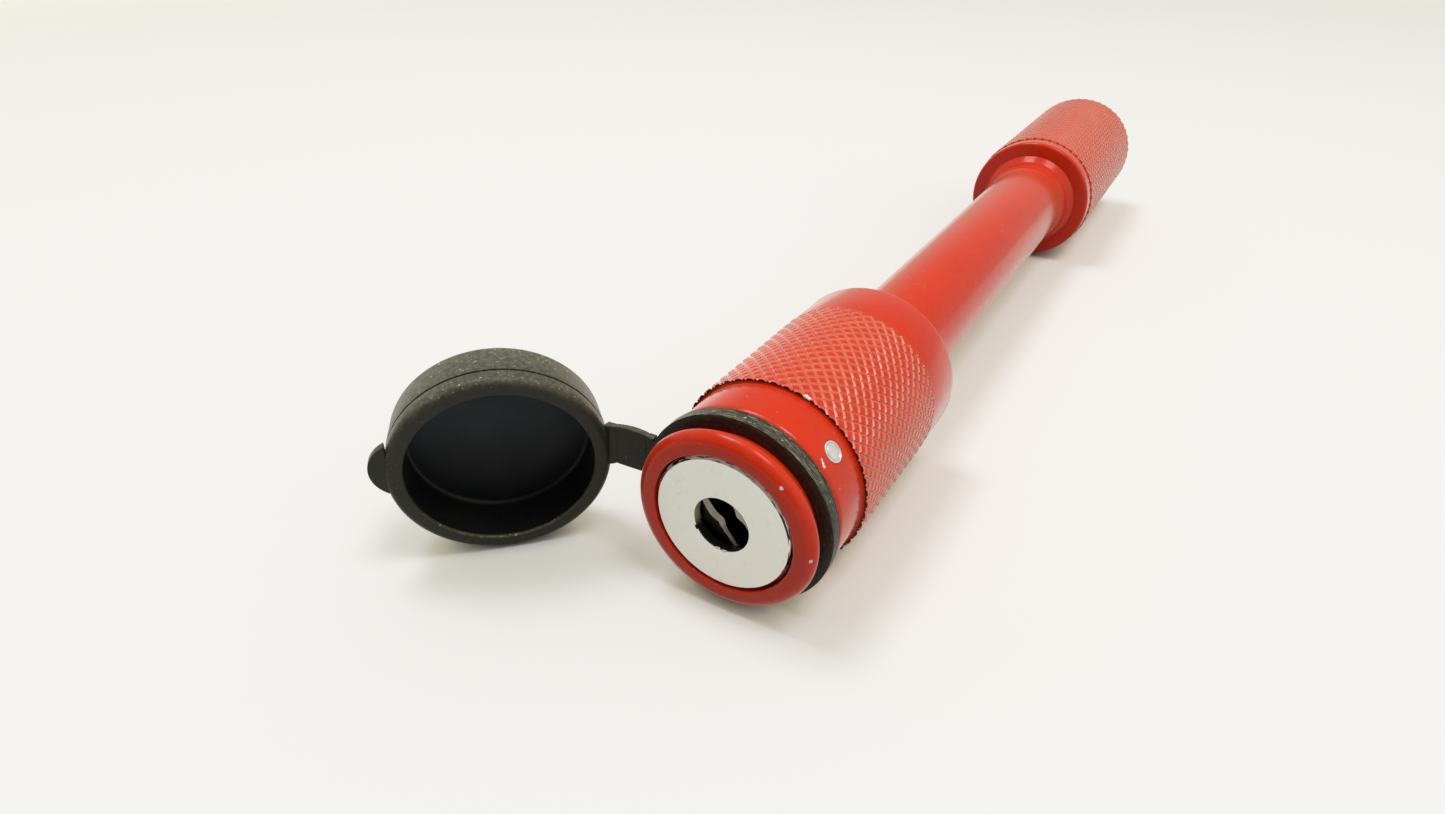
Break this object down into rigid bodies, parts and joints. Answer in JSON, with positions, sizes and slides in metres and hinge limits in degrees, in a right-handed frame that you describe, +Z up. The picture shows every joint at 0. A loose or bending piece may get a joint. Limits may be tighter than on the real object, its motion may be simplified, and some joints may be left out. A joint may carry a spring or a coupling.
{
  "type": "locking hitch pin",
  "caption": "Round steel hitch pin with knurled heads, one a slide-off key lock with a strapped rubber dust cap that folds over the keyhole.",
  "frame": {"origin": "centre of the end head's flat outer face, on the shaft's axis", "axes": "+Y along the shaft from the lock head towards the end head, +Z up as the pin lies, +X to the right of someone who faces the keyhole"},
  "size_m": [0.0548, 0.1967, 0.027],
  "materials": {
    "red_paint": "gloss",
    "chrome": "polished",
    "steel": "satin",
    "brass": "satin",
    "rubber": "matte"
  },
  "bodies": {
    "pin": {"pin_shaft": "red_paint", "end_head": "red_paint"},
    "lock_head": {"lock_housing": "red_paint", "shaft_guide": "steel", "shaft_seal": "rubber", "lock_cylinder": "chrome", "cylinder_seal": "rubber", "plug_clip": "steel", "retaining_pin": "steel", "cap_ring": "rubber", "strap_ring_half": "rubber"},
    "plug": {"key_plug": "brass", "drive_cam": "steel", "cam_cross_pin": "steel"},
    "bolt": {"locking_bolt": "steel"},
    "cap": {"dust_cap": "rubber", "cap_pull_tab": "rubber", "strap_cap_half": "rubber"}
  },
  "joints": [
    {"name": "head_slide", "type": "slide", "parent": "pin", "child": "lock_head", "axis": [0, -1, 0], "range_m": [0, 0.04]},
    {"name": "key_turn", "type": "hinge", "parent": "lock_head", "child": "plug", "pos_m": [0, -0.17, 0], "axis": [0, 1, 0], "range_deg": [0, 90]},
    {"name": "bolt_draw", "type": "slide", "parent": "lock_head", "child": "bolt", "axis": [0, 0, -1], "range_m": [0, 0.0018]},
    {"name": "cap_fold", "type": "hinge", "parent": "lock_head", "child": "cap", "pos_m": [-0.01543, -0.1765, 0.0024], "axis": [0.0369, -0.0539, 0.9979], "range_deg": [-45, 134.8], "stiffness_Nm_per_rad": 0.0005}
  ],
  "couplings": [
    {"joint": "bolt_draw", "follows": "key_turn", "m_per_rad": 0.001145}
  ]
}
